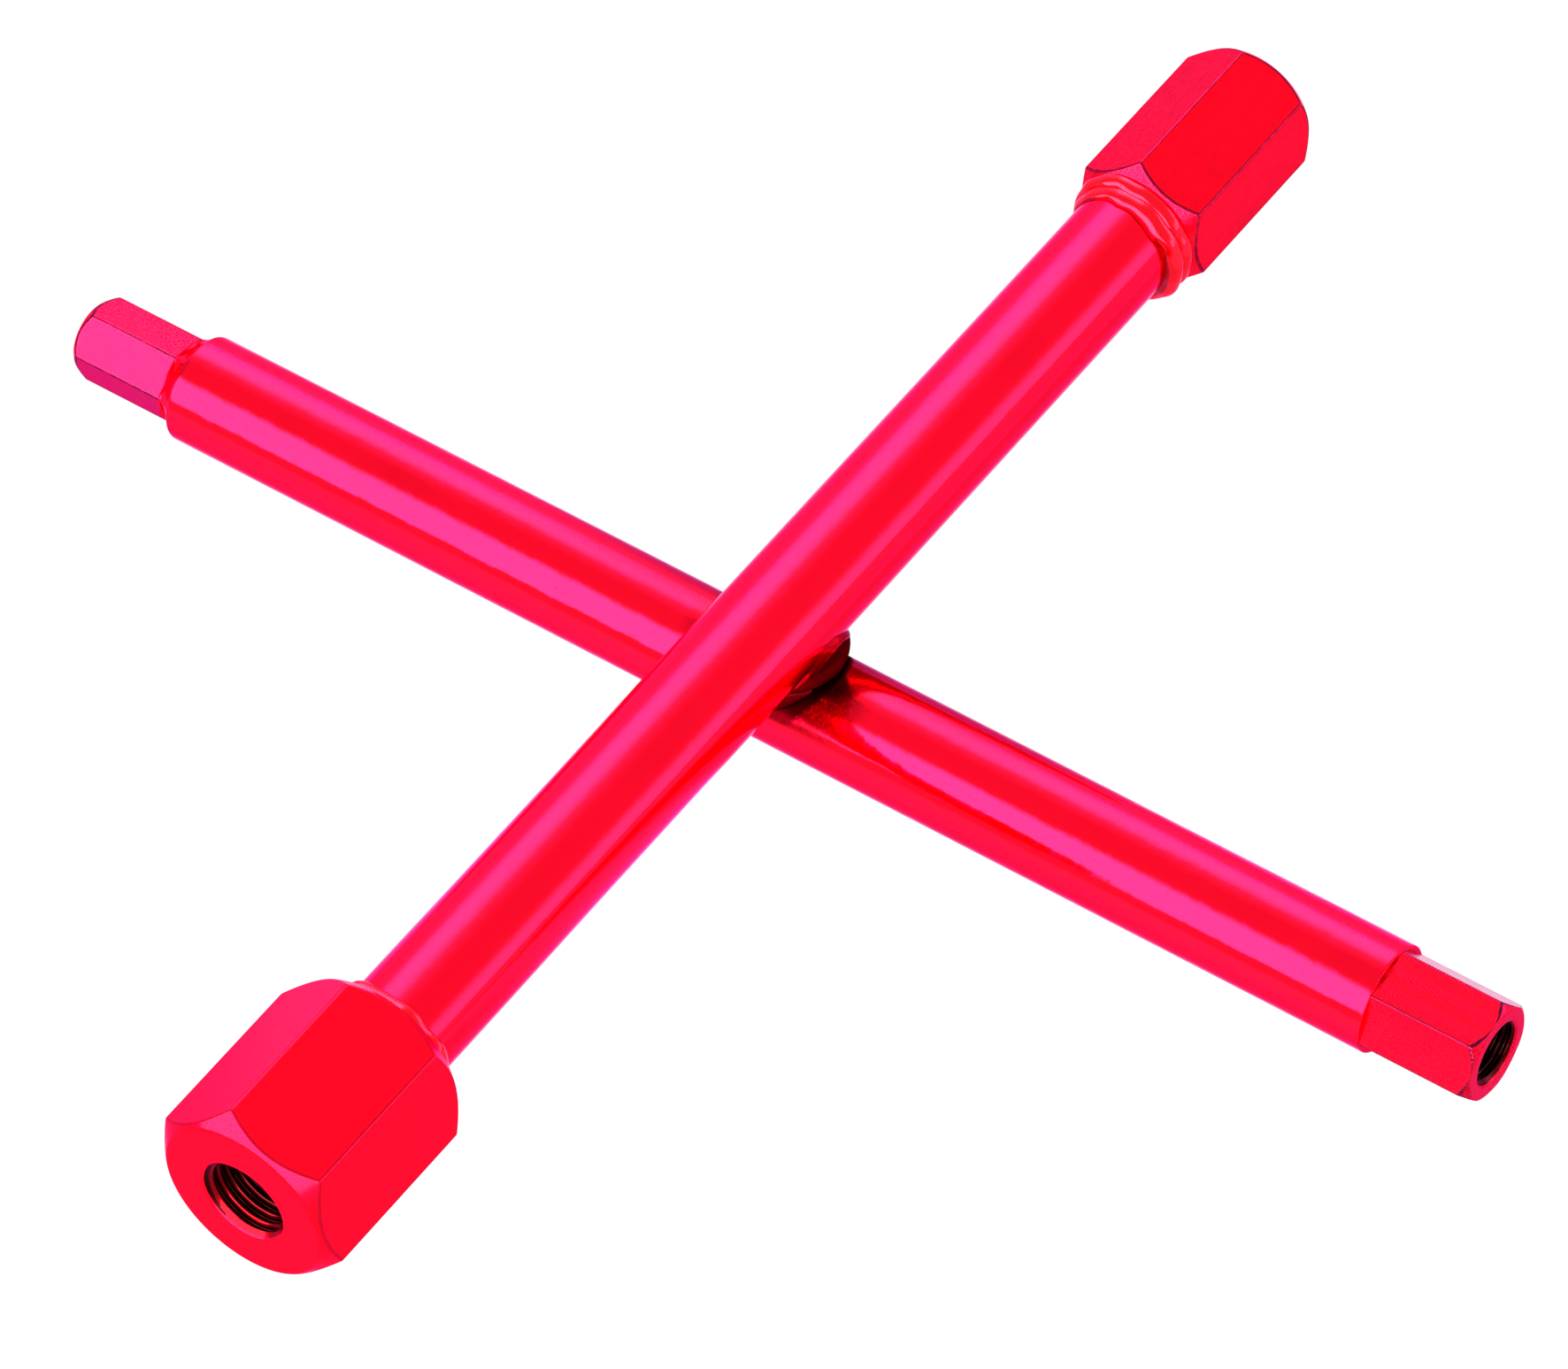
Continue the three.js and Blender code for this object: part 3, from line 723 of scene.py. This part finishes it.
def boss(name, body, node, angle, rows):
    """A boss from rows of (radius, height, painted shade)."""
    radii, heights, grime = (
        np.array([np.broadcast_to(value, angle.shape) for value in column])
        for column in zip(*rows))
    piece = ring_mesh(name, upright(radii, angle, heights), closed=True, edge=0.0, grime=grime)
    finish_piece(piece, body, BOSS_RED, node)


def upper_boss():
    angle = full_turn(360)
    lumps = waves(91, [3, 5, 8, 13], [0.03, 0.03, 0.03, 0.02])(angle)

    def under_tube(radius):
        return np.clip(tube_over(radius * np.cos(angle)), 0.75, 7.2)

    # the wall stops at the tube, and below the crest of the arch welds
    top = under_tube(BELLY_R[-1])
    off = np.degrees(np.arctan2(np.abs(np.sin(angle)), np.abs(np.cos(angle))))
    below_crest = crest_height(off) - 0.35 + np.clip((off - 44) / 4, 0, 9)
    top = np.where(off < 60, np.minimum(top, below_crest), top)
    top = np.maximum(top, 0.5)
    # the recess for the thrust washer, then the face over the parting plane
    rows = [(radius, 0.6, 1.0) for radius in (3.1, 4.4, 5.7)]
    rows += [(radius, 0.1, 1.0) for radius in (5.7, 6.7, 7.7, 8.8)]
    # the wall, with painted shade that deepens a little towards the tube over it
    for t in np.linspace(0, 1, 26):
        z = 0.1 + (top - 0.1) * t ** 1.4
        radius = np.interp(z, BELLY_Z, BELLY_R) + lumps * math.sin(math.pi * t)
        rows.append((radius, z, np.clip(0.86 + 0.12 * (z - 0.6) / 3, 0.86, 0.99)))
    rows += [(radius, under_tube(radius), 1.0) for radius in np.linspace(9.85, 6.5, 9)]
    rows += [(radius, SPIGOT_END, 1.0) for radius in SPIGOT_RADII]
    boss("upper_boss_skin", "upper_bar", "upper_saddle_boss", angle, rows)


def lower_boss():
    """A rim on a neck that stands on the lower tube, with a groove under the rim; painted shade
    darkens all of it, fullest in the groove and on the neck.
    """
    angle = full_turn(360)
    neck = 8.88

    def saddle(radius, gap):
        """Height of the lower tube's top, grown by a gap, under the boss."""
        across = radius * np.sin(angle)
        return -AXIS + np.sqrt(np.maximum(0, (TUBE_R + gap) ** 2 - across * across))

    # the rim narrows where the tube leaves it no room
    bottom = saddle(10.0, 0.95)
    room = np.clip((-0.1 - bottom) / 0.8, 0, 1)
    room = room * room * (3 - 2 * room)
    rim = 8.9 + 1.05 * room
    wall = np.minimum(bottom, -0.12)
    rows = [(radius, -0.6, 1.0) for radius in (3.1, 4.4, 5.7)]
    rows += [(radius, -0.1, 1.0) for radius in (5.7, 7.2, 8.6)]
    rows.append((rim - 0.30, -0.10, 0.9))
    rows.append((rim - 0.08, -0.10 - 0.12 * room, 0.80))
    rim_top = -0.1 - 0.3 * room
    for t in np.linspace(0, 1, 12):
        z = rim_top - (rim_top - np.minimum(wall, rim_top)) * t
        rows.append((rim + 0.10 * room * math.sin(math.pi * t), z, 0.86 + 0.14 * t))
    for t in np.linspace(0, 1, 5)[1:]:
        radius = rim + (neck - rim) * t
        rows.append((radius, np.minimum(-0.13, np.minimum(wall, saddle(radius, 0.95))), 1.0))
    neck_top = np.minimum(-0.13, saddle(8.9, 0.95))
    neck_foot = np.minimum(saddle(8.9, -0.2), neck_top - 0.05)
    for t in np.linspace(0, 1, 5)[1:]:
        rows.append((neck, neck_top + (neck_foot - neck_top) * t, 1.0))
    for radius in np.linspace(8.6, 6.5, 6):
        rows.append((radius, np.minimum(saddle(radius, -0.2), -0.3), 1.0))
    rows += [(radius, -SPIGOT_END, 1.0) for radius in SPIGOT_RADII]
    boss("lower_boss_skin", "lower_bar", "lower_saddle_boss", angle, rows)


upper_boss()
lower_boss()


def arch_bead(name, node, side):
    """Weld along the arch where the boss's wall meets the +X or -X side of the upper tube."""
    span = 52.0
    degrees = np.linspace(-span, span, 161)
    angle = np.radians(degrees)
    height = np.pad(crest_height(degrees), 6, mode="edge")
    height = np.convolve(height, np.ones(13) / 13, mode="valid")
    radius = 10.78 + waves(51 + side, [5, 9, 14], [0.05, 0.05, 0.03])(angle * 2)
    x, y = radius * np.cos(angle), radius * np.sin(angle)
    round_tube = np.arctan2(x, AXIS - height)    # from straight down, round the tube

    def on_tube(extra, radius):
        turned = np.minimum(round_tube + np.radians(extra), math.radians(116))
        return points(radius * np.sin(turned), y, AXIS - radius * np.cos(turned))

    # knots of the cross-section: the toe on the tube, the crest, then under it
    reach = np.interp(degrees, [-52, -45, -22, -6, 12, 52], [15.0, 20.0, 20.0, 12.0, 3.0, 3.0])
    crest = points(x, y, height)
    outward = points(np.cos(angle), np.sin(angle), 0.0)
    down = np.array([0, 0, -1.0])
    toe = on_tube(reach, 10.02)
    under = [crest + down * drop - outward * inset
             for drop, inset in ((0.35, 0.10), (0.75, 0.36), (0.9, 0.95), (-0.1, 1.5))]
    knots = [on_tube(reach + 3, 9.80), toe, 0.5 * (toe + crest) + 0.16 * outward, crest, *under]

    # a cubic through the knots, kept slack so that the crest stays crisp
    slack = 0.35
    section = []
    for i in range(len(knots)):
        before, start, end, after = (knots[(i + k - 1) % len(knots)] for k in range(4))
        leave, arrive = slack * (end - before), slack * (after - start)
        for u in (0.0, 0.25, 0.5, 0.75):
            u2, u3 = u * u, u * u * u
            section.append((2 * u3 - 3 * u2 + 1) * start + (u3 - 2 * u2 + u) * leave
                           + (-2 * u3 + 3 * u2) * end + (u3 - u2) * arrive)
    grid = np.stack(section, 1)
    # the run thins out towards its two ends, each closed by a pole
    core = ((crest + under[-1]) / 2)[:, None, :]
    thickness = np.clip((span - np.abs(degrees)) / 9.0, 0.02, 1) ** 0.5
    grid = core + (grid - core) * thickness[:, None, None]
    grid[:, :, 0] *= side
    grid[:, :, 2] += LIFT
    poles = [np.repeat(row.mean(1, keepdims=True), len(section), 1)
             for row in (grid[:1], grid[-1:])]
    grid = np.concatenate([poles[0], grid, poles[1]])
    # painted shade: none at the toe, some over the face, almost none on the crest, which stays
    # as a thin light line, and full under it
    grime = np.repeat([0.0, 0.40, 0.24, 0.06, 1.0], [4, 7, 1, 1, 19])
    piece = ring_mesh(name, grid, edge=0.0, grime=grime)
    finish_piece(piece, "upper_bar", ARCH_RED, node)


arch_bead("boss_bead_east", "boss_weld_east", side=1)
arch_bead("boss_bead_west", "boss_weld_west", side=-1)


# ---------------------------------------------------------------------- pivot
def pivot_screw():
    """Screw with a flush round head and two holes for a pin spanner."""
    face, tip = -LIFT, 12.1
    hole_offset, hole_radius = 2.7, 0.75
    rim_radius = 4.2    # the head's face is triangulated inside this
    angle = full_turn(192)
    radii, heights, _ = profile([
        (rim_radius, face, 0, 0, 0, 0),
        (4.8, face, 0.35, 5, 0, 1),
        (4.8, -16.35, 0.1, 2, 0, 1),
        (3.0, -16.35, 0.1, 2, 0, 4),
        (3.0, 3.7, 0.1, 2, 0, 0),
        (2.5, 4.15, 0.05, 1, 0, 6),
        (2.5, tip, 0.3, 3, 0, 1),
        (0.0, tip, 0, 0, 0, 0),
    ], len(angle))
    verts, faces = [], []

    def add_verts(new):
        start = len(verts)
        verts.extend(tuple(v) for v in new)
        return list(range(start, len(verts)))

    def skin(rings, pole):
        for first, second in zip(rings[:-1], rings[1:]):
            faces.extend(band(first, second))
        faces.extend(fan(rings[-1], add_verts([pole])[0]))

    rings = [add_verts(ring) for ring in upright(radii, angle, heights)[:-1]]
    skin(rings, (0.0, 0.0, LIFT + tip))
    loops = [rings[0]]
    for x in (-hole_offset, hole_offset):
        rings = [add_verts((x + radius * math.cos(t), radius * math.sin(t), LIFT + z)
                           for t in full_turn(40))
                 for radius, z in ((hole_radius + 0.08, face), (hole_radius, face + 0.08),
                                   (hole_radius, face + 2.0))]
        skin(rings, (x, 0.0, LIFT + face + 2.3))
        loops.append(rings[0])

    # the face, between its rim and the two holes
    numbers = [v for loop in loops for v in loop]
    position = {v: i for i, v in enumerate(numbers)}
    flat = [Vector(verts[v][:2]) for v in numbers]
    edges = [(position[loop[j]], position[loop[(j + 1) % len(loop)]])
             for loop in loops for j in range(len(loop))]
    corners, _, triangles, origins, _, _ = delaunay_2d_cdt(flat, edges, [], 0, 1e-6)
    for triangle in triangles:
        x = sum(corners[i][0] for i in triangle) / len(triangle)
        y = sum(corners[i][1] for i in triangle) / len(triangle)
        in_hole = min(math.hypot(x - hole_offset, y), math.hypot(x + hole_offset, y)) < 0.8
        if math.hypot(x, y) <= rim_radius and not in_hole:
            faces.append(tuple(numbers[origins[i][0]] for i in triangle))
    piece = make_object("pivot_screw_skin", verts, faces)
    finish_piece(piece, "upper_bar", STEEL, "pivot_screw")
    piece.data.set_sharp_from_angle(angle=math.radians(40))


def pivot_bush():
    """Bush, cut back to the round outline of the lower tube."""
    angle = full_turn(160)
    radii, heights, _ = profile([
        (3.1, -4.3, 0, 0, 0, 3),
        (3.1, -15.0, 0.1, 2, 0, 1),
        (5.05, -15.0, 0.1, 2, 0, 2),
        (5.05, -20.15, 0.25, 3, 0, 0),
        (5.9, -20.15, 0.3, 3, 0, 3),
        (5.9, -4.3, 0, 0, 0, 0),
    ], len(angle))
    piece = ring_mesh("pivot_bush_skin", upright(radii, angle, heights), closed=True, edge=0.0)
    rings = [lower(TUBE_R, full_turn(256), station) for station in (-20.0, 20.0)]
    cut(piece, "dress", rings, "INTERSECT")
    finish_piece(piece, "lower_bar", BRONZE, "pivot_bush")


pivot_screw()
pivot_bush()

# pieces that keep their own meshes
for name, material in (("pivot_nut", STEEL), ("thrust_washer", BRONZE),
                       ("upper_disc_spring", SPRING_STEEL), ("lower_disc_spring", SPRING_STEEL)):
    NODES[name].data.materials.clear()
    NODES[name].data.materials.append(material)


# ---------------------------------------------------------------------- stage
def make_floor(half_size=30, height=-0.0002):
    """A white table that glows, brighter in places; distances are in metres."""
    mesh = bpy.data.meshes.new("floor")
    square = ((-1, -1), (1, -1), (1, 1), (-1, 1))
    mesh.from_pydata([(x * half_size, y * half_size, height) for x, y in square],
                     [], [(0, 1, 2, 3)])
    floor = bpy.data.objects.new("floor", mesh)
    bpy.context.scene.collection.objects.link(floor)
    material = bpy.data.materials.new("pale_floor")
    shader = Shader(material, "Emission")
    x, y, _ = shader.axes(shader.place)
    east = shader.mul(
        shader.mul(shader.ramp(x, across=(0.052, 0.064)), shader.ramp(x, across=(0.9, 0.4))),
        shader.ramp(y, across=(0.015, 0.045), to=(0.0, 0.9)))
    south = shader.mul(shader.ramp(y, across=(-0.012, -0.022), to=(0.0, 1.3)),
                       shader.ramp(y, across=(-0.080, -0.045), to=(0.12, 1.0)))
    north = shader.mul(shader.ramp(y, across=(0.03, 0.12)),
                       shader.ramp(x, across=(0.0, -0.08), to=(0.0, 0.3)))
    even = 1.02
    shader.set("Strength", shader.add(shader.add(shader.add(east, south), north), even))
    mesh.materials.append(material)


def make_world():
    """A studio painted on the sky; every light is a patch of directions."""
    world = bpy.data.worlds.new("studio")
    bpy.context.scene.world = world
    shader = Shader(world, "Background", output="OutputWorld", coordinate="Generated")
    z = shader.axes(shader.place)[2]

    def towards(x, y, z):
        """Cosine of the angle between the view and a direction."""
        inputs = {0: shader.place, 1: Vector((x, y, z)).normalized()}
        return shader.node("VectorMath", inputs, operation="DOT_PRODUCT").outputs["Value"]

    def cosines(*degrees):
        return [math.cos(math.radians(value)) for value in degrees]

    # a high softbox towards -X +Y, with a soft edge
    box = towards(-0.455, 0.625, 0.635)
    box = shader.add(shader.ramp(box, across=cosines(24, 4), to=(0, 10.0)),
                     shader.ramp(box, across=cosines(38, 12), to=(0, 2.5)))
    # a tall window towards -Y
    window = shader.mul(shader.ramp(towards(-0.17, -0.985, 0), across=(0.47, 0.60)),
                        shader.mul(shader.ramp(z, across=(0.80, 0.67)),
                                   shader.ramp(z, across=(0.03, 0.09), to=(0, 16.0))))
    # a low strip towards +X +Y
    strip = shader.mul(shader.ramp(towards(0.84, 0.54, 0), across=(0.70, 0.82)),
                       shader.mul(shader.ramp(z, across=(0.46, 0.20), to=(0, 7.2)),
                                  shader.ramp(z, across=(-0.05, 0.0))))
    # a glow near the horizon towards -X +Y
    glow = shader.mul(shader.ramp(towards(-0.60, 0.80, 0), across=(0.55, 0.9), to=(0, 0.8)),
                      shader.ramp(z, across=(0.55, 0.25)))
    even = 1.27
    lights = shader.add(shader.add(box, window), shader.add(strip, glow))
    shader.set("Strength", shader.add(lights, even))


def rotation(vector):
    """Rotation matrix from an axis whose length is the angle in radians."""
    vector = np.array(vector, float)
    angle = np.linalg.norm(vector)
    x, y, z = vector / angle
    cross = np.array([[0, -z, y], [z, 0, -x], [-y, x, 0]])
    return np.eye(3) + math.sin(angle) * cross + (1 - math.cos(angle)) * cross @ cross


def make_camera():
    # the view's own axes are x right, y down and z forward; the pivot's centre on the
    # parting plane lies at offset in them, in metres
    view = rotation((2.3373, 0.7249, -0.2951))
    offset = np.array((0.000555, -0.005845, 1.711569))
    position = -view.T @ offset + np.array((0.0, 0.0, LIFT * MM))
    data = bpy.data.cameras.new("camera")
    data.sensor_width = 36.0
    data.lens = 230.2029345
    data.clip_start = 0.05
    data.clip_end = 200
    camera = bpy.data.objects.new("camera", data)
    bpy.context.scene.collection.objects.link(camera)
    pose = np.eye(4)
    pose[:3] = np.column_stack([view[0], -view[1], -view[2], position])
    camera.matrix_world = Matrix(pose.tolist())
    bpy.context.scene.camera = camera


make_floor()
make_world()
make_camera()
bpy.context.scene.view_settings.view_transform = "Standard"
bpy.context.scene.view_settings.look = "None"
